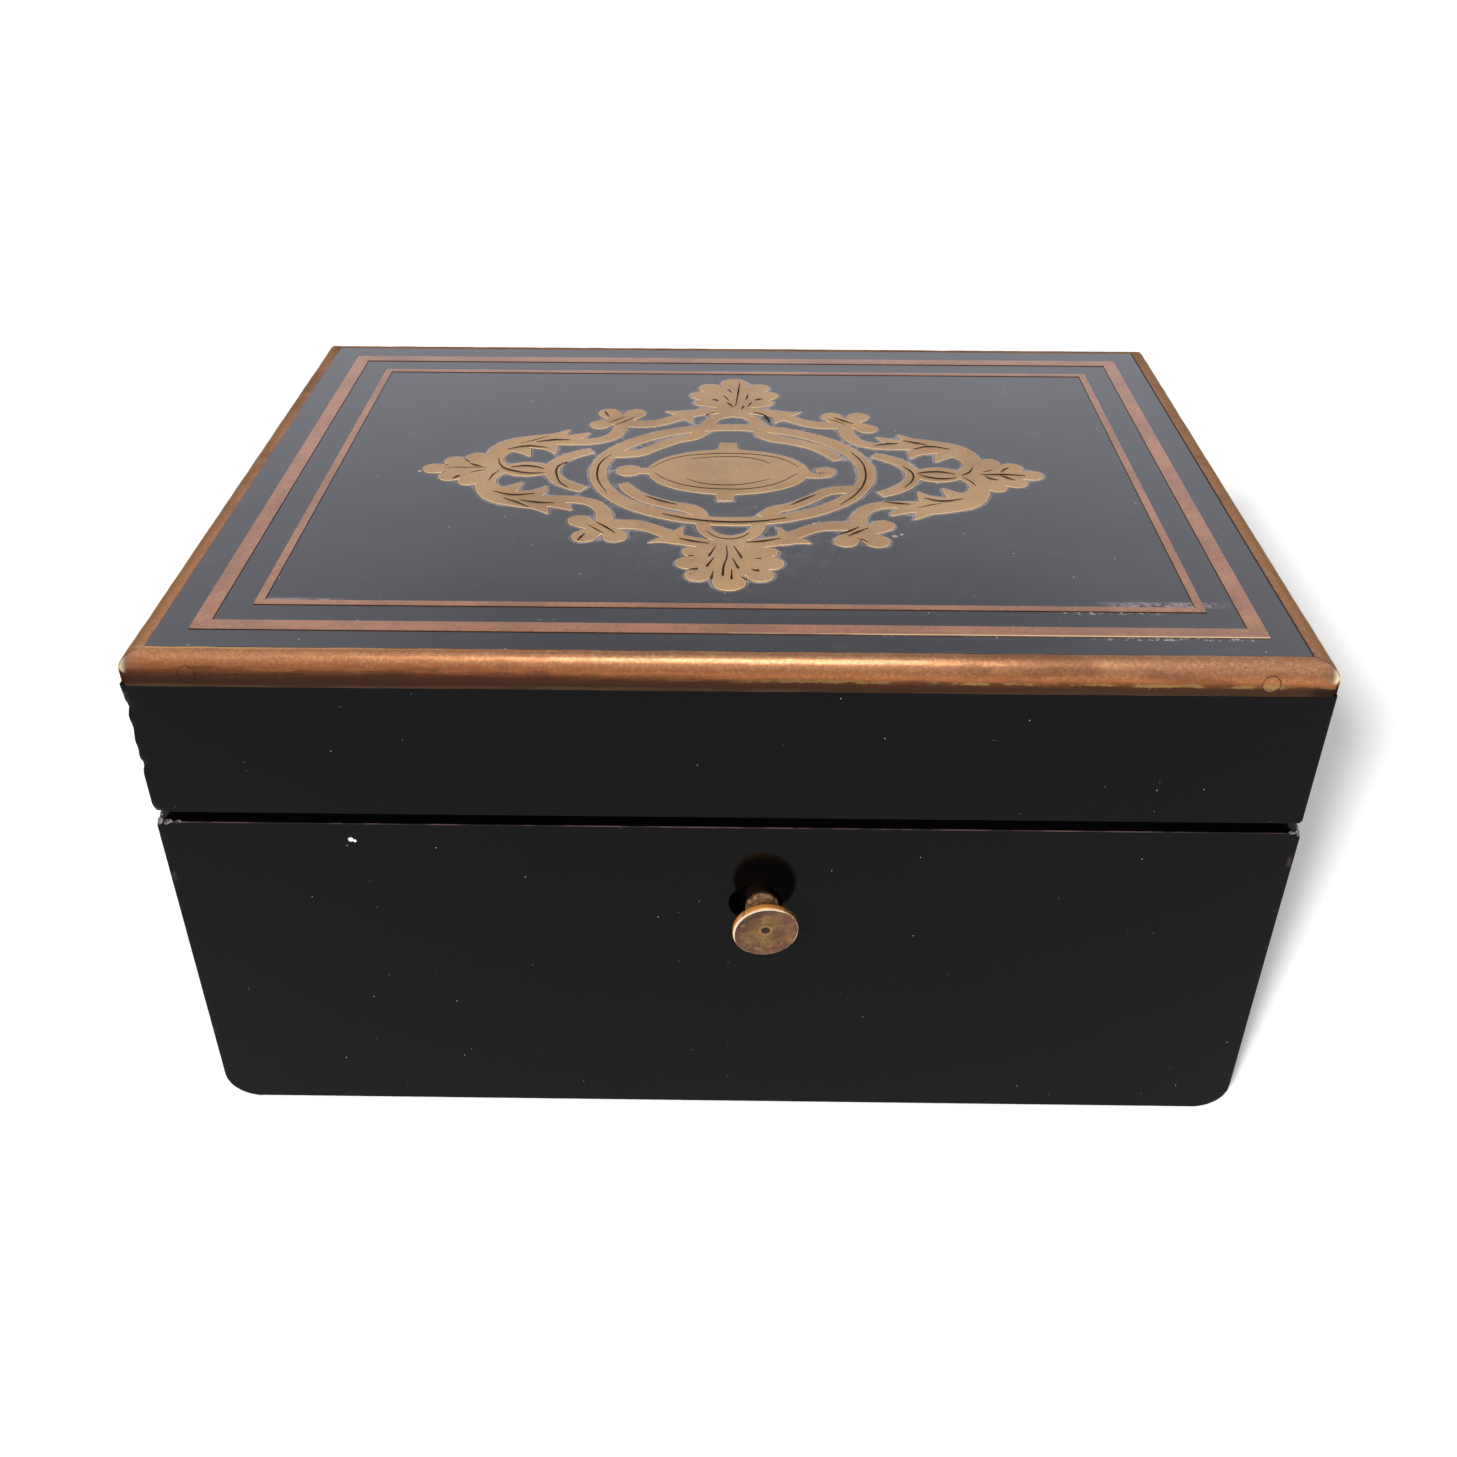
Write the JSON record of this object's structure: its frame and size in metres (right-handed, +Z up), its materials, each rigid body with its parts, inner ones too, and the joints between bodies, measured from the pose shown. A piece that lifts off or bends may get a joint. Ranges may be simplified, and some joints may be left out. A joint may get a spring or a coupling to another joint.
{
  "type": "marquetry jewelry box",
  "caption": "Ebonised hinged jewel box with a brass edge bead, brass stringing, a pierced brass cartouche inlaid in the lid and a push-button catch that frees the lid.",
  "frame": {"origin": "middle of the underside of the case, on the surface that it stands on", "axes": "+X to the right seen from the front, +Y to the back, +Z up; the button faces -Y"},
  "size_m": [0.1502, 0.1167, 0.0781],
  "materials": {
    "ebonised_wood": "black lacquer, glossy, worn at the edges",
    "lid_veneer": "black lacquered veneer, glossy, fine scratches",
    "bare_wood": "bare, darkened",
    "edge_brass": "tarnished, scratched",
    "string_brass": "tarnished, dull",
    "gilt_brass": "satin, engraved",
    "knob_brass": "turned, handled",
    "hinge_brass": "aged",
    "steel": "oiled",
    "satin": "silk satin, faded"
  },
  "bodies": {
    "case": {"case_front": "ebonised_wood", "case_back": "ebonised_wood", "case_left": "ebonised_wood", "case_right": "ebonised_wood", "case_bottom": "bare_wood", "lining_front": "satin", "lining_back": "satin", "lining_left": "satin", "lining_right": "satin", "floor_pad": "satin", "latch_plate": "hinge_brass", "pivot_pin": "steel", "return_spring": "steel", "latch_screws": "steel", "hinge_left_case_leaf": "hinge_brass", "hinge_right_case_leaf": "hinge_brass", "hinge_left_pin": "steel", "hinge_right_pin": "steel", "hinge_case_screws": "steel"},
    "lid": {"lid_front": "ebonised_wood", "lid_back": "ebonised_wood", "lid_left": "ebonised_wood", "lid_right": "ebonised_wood", "lid_board": "bare_wood", "lid_veneer": "lid_veneer", "bead_front": "edge_brass", "bead_back": "edge_brass", "bead_left": "edge_brass", "bead_right": "edge_brass", "bead_pins": "edge_brass", "outer_string_front": "string_brass", "outer_string_back": "string_brass", "outer_string_left": "string_brass", "outer_string_right": "string_brass", "inner_string_front": "string_brass", "inner_string_back": "string_brass", "inner_string_left": "string_brass", "inner_string_right": "string_brass", "cartouche": "gilt_brass", "medallion": "gilt_brass", "keeper_plate": "hinge_brass", "keeper_screws": "steel", "hinge_left_lid_leaf": "hinge_brass", "hinge_right_lid_leaf": "hinge_brass", "hinge_lid_screws": "steel", "lid_lining_front": "satin", "lid_lining_back": "satin", "lid_lining_left": "satin", "lid_lining_right": "satin", "lid_pad": "satin", "lid_tufts": "satin"},
    "button": {"push_knob": "knob_brass", "knob_collar": "knob_brass"},
    "catch": {"catch_lever": "steel"}
  },
  "joints": [
    {"name": "lid_hinge", "type": "hinge", "parent": "case", "child": "lid", "pos_m": [0, 0.0539, 0.05365], "axis": [-1, 0, 0], "range_deg": [0, 100]},
    {"name": "button_press", "type": "slide", "parent": "case", "child": "button", "axis": [0, 1, 0], "range_m": [0, 0.0015], "stiffness_N_per_m": 800, "springref_m": -0.001},
    {"name": "catch_rock", "type": "hinge", "parent": "case", "child": "catch", "pos_m": [0.005, -0.05018, 0.048], "axis": [1, 0, 0], "range_deg": [0, 10.5], "deforming": ["return_spring"]}
  ],
  "couplings": [
    {"joint": "catch_rock", "follows": "button_press", "rad_per_m": 119.05}
  ]
}
